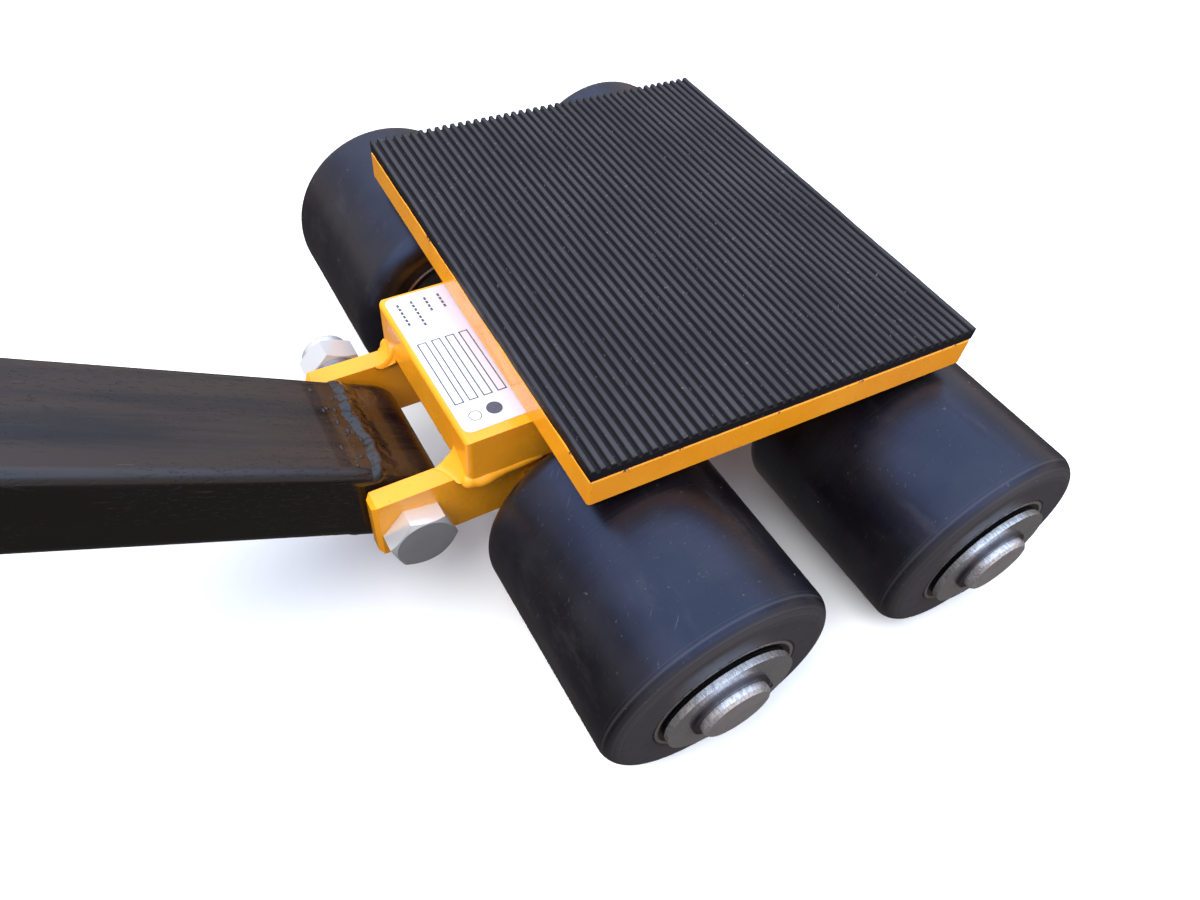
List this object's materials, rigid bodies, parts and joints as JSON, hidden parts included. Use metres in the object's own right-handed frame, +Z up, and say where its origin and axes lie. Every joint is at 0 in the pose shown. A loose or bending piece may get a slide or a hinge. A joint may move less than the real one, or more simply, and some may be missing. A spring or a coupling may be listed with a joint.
{
  "type": "machinery moving skate",
  "caption": "steerable machinery moving skate, four wide black rollers under an orange swivelling deck with a ribbed rubber mat and a hinged black drawbar",
  "frame": {"origin": "the point of the floor under the deck's swivel axis, midway between the axles", "axes": "+X forward to the drawbar, +Y to the object's left, +Z up, the rollers stand on z=0"},
  "size_m": [0.621, 0.3016, 0.2823],
  "materials": {
    "frame_paint": "glossy orange-yellow paint on welded steel, chipped to dark specks along the upper plate edges",
    "drawbar_paint": "gloss black paint with lengthwise streaks and small flecks",
    "zinc": "bright zinc-plated steel",
    "turned_steel": "bright turned steel shaft",
    "blackened_steel": "phosphated dark spring steel",
    "bearing_steel": "ground bearing steel",
    "cage_steel": "pressed steel ball cage",
    "bronze": "bronze plain bush",
    "roller_plastic": "black cast polyamide, turned, with faint circumferential lines and light scuffs",
    "mat_rubber": "black ribbed rubber, rib tops greyed",
    "seal_rubber": "black seal rubber",
    "grip_rubber": "black ribbed rubber grip",
    "plug_plastic": "black moulded plug",
    "plate_foil": "silvery blank plate with unprinted fields"
  },
  "bodies": {
    "chassis": {"side_plate_left": "frame_paint", "side_plate_right": "frame_paint", "front_cross_plate": "frame_paint", "rear_cross_plate": "frame_paint", "hub_block": "frame_paint", "hub_bush": "bronze", "thrust_lower_race": "bearing_steel", "hitch_block": "frame_paint", "hitch_ear_left": "frame_paint", "hitch_ear_right": "frame_paint", "name_plate": "plate_foil", "hinge_bolt": "zinc", "hinge_washer": "zinc", "hinge_nut": "zinc", "front_axle": "turned_steel", "rear_axle": "turned_steel", "bearing_inner_rings": "bearing_steel", "bearing_spacer_tubes": "turned_steel", "axle_inner_sleeves": "turned_steel", "axle_shim_rings": "turned_steel", "axle_end_washers": "zinc", "axle_circlips": "blackened_steel"},
    "deck": {"deck_plate": "frame_paint", "rubber_mat": "mat_rubber", "king_pin": "turned_steel", "king_pin_washer": "zinc", "king_pin_circlip": "blackened_steel", "thrust_upper_race": "bearing_steel", "thrust_balls": "bearing_steel", "thrust_cage": "cage_steel"},
    "drawbar": {"drawbar_eye": "drawbar_paint", "drawbar_tube": "drawbar_paint", "drawbar_end_plug": "plug_plastic", "drawbar_handle": "drawbar_paint", "handle_grip_left": "grip_rubber", "handle_grip_right": "grip_rubber"},
    "roller_front_left_body": {"roller_front_left": "roller_plastic", "bearing_outer_rings_front_left": "bearing_steel", "bearing_balls_front_left": "bearing_steel", "bearing_cages_front_left": "cage_steel", "bearing_seals_front_left": "seal_rubber"},
    "roller_front_right_body": {"roller_front_right": "roller_plastic", "bearing_outer_rings_front_right": "bearing_steel", "bearing_balls_front_right": "bearing_steel", "bearing_cages_front_right": "cage_steel", "bearing_seals_front_right": "seal_rubber"},
    "roller_rear_left_body": {"roller_rear_left": "roller_plastic", "bearing_outer_rings_rear_left": "bearing_steel", "bearing_balls_rear_left": "bearing_steel", "bearing_cages_rear_left": "cage_steel", "bearing_seals_rear_left": "seal_rubber"},
    "roller_rear_right_body": {"roller_rear_right": "roller_plastic", "bearing_outer_rings_rear_right": "bearing_steel", "bearing_balls_rear_right": "bearing_steel", "bearing_cages_rear_right": "cage_steel", "bearing_seals_rear_right": "seal_rubber"}
  },
  "joints": [
    {"name": "deck_swivel", "type": "hinge", "parent": "chassis", "child": "deck", "pos_m": [0, 0, 0.082], "axis": [0, 0, 1], "continuous": true},
    {"name": "drawbar_pitch", "type": "hinge", "parent": "chassis", "child": "drawbar", "pos_m": [0.1196, 0.0132, 0.051], "axis": [0, -1, 0], "range_deg": [-33, 59]},
    {"name": "roller_front_left_spin", "type": "hinge", "parent": "chassis", "child": "roller_front_left_body", "pos_m": [0.058, 0.09985, 0.0425], "axis": [0, 1, 0], "continuous": true},
    {"name": "roller_front_right_spin", "type": "hinge", "parent": "chassis", "child": "roller_front_right_body", "pos_m": [0.058, -0.09985, 0.0425], "axis": [0, 1, 0], "continuous": true},
    {"name": "roller_rear_left_spin", "type": "hinge", "parent": "chassis", "child": "roller_rear_left_body", "pos_m": [-0.058, 0.09985, 0.0425], "axis": [0, 1, 0], "continuous": true},
    {"name": "roller_rear_right_spin", "type": "hinge", "parent": "chassis", "child": "roller_rear_right_body", "pos_m": [-0.058, -0.09985, 0.0425], "axis": [0, 1, 0], "continuous": true}
  ]
}
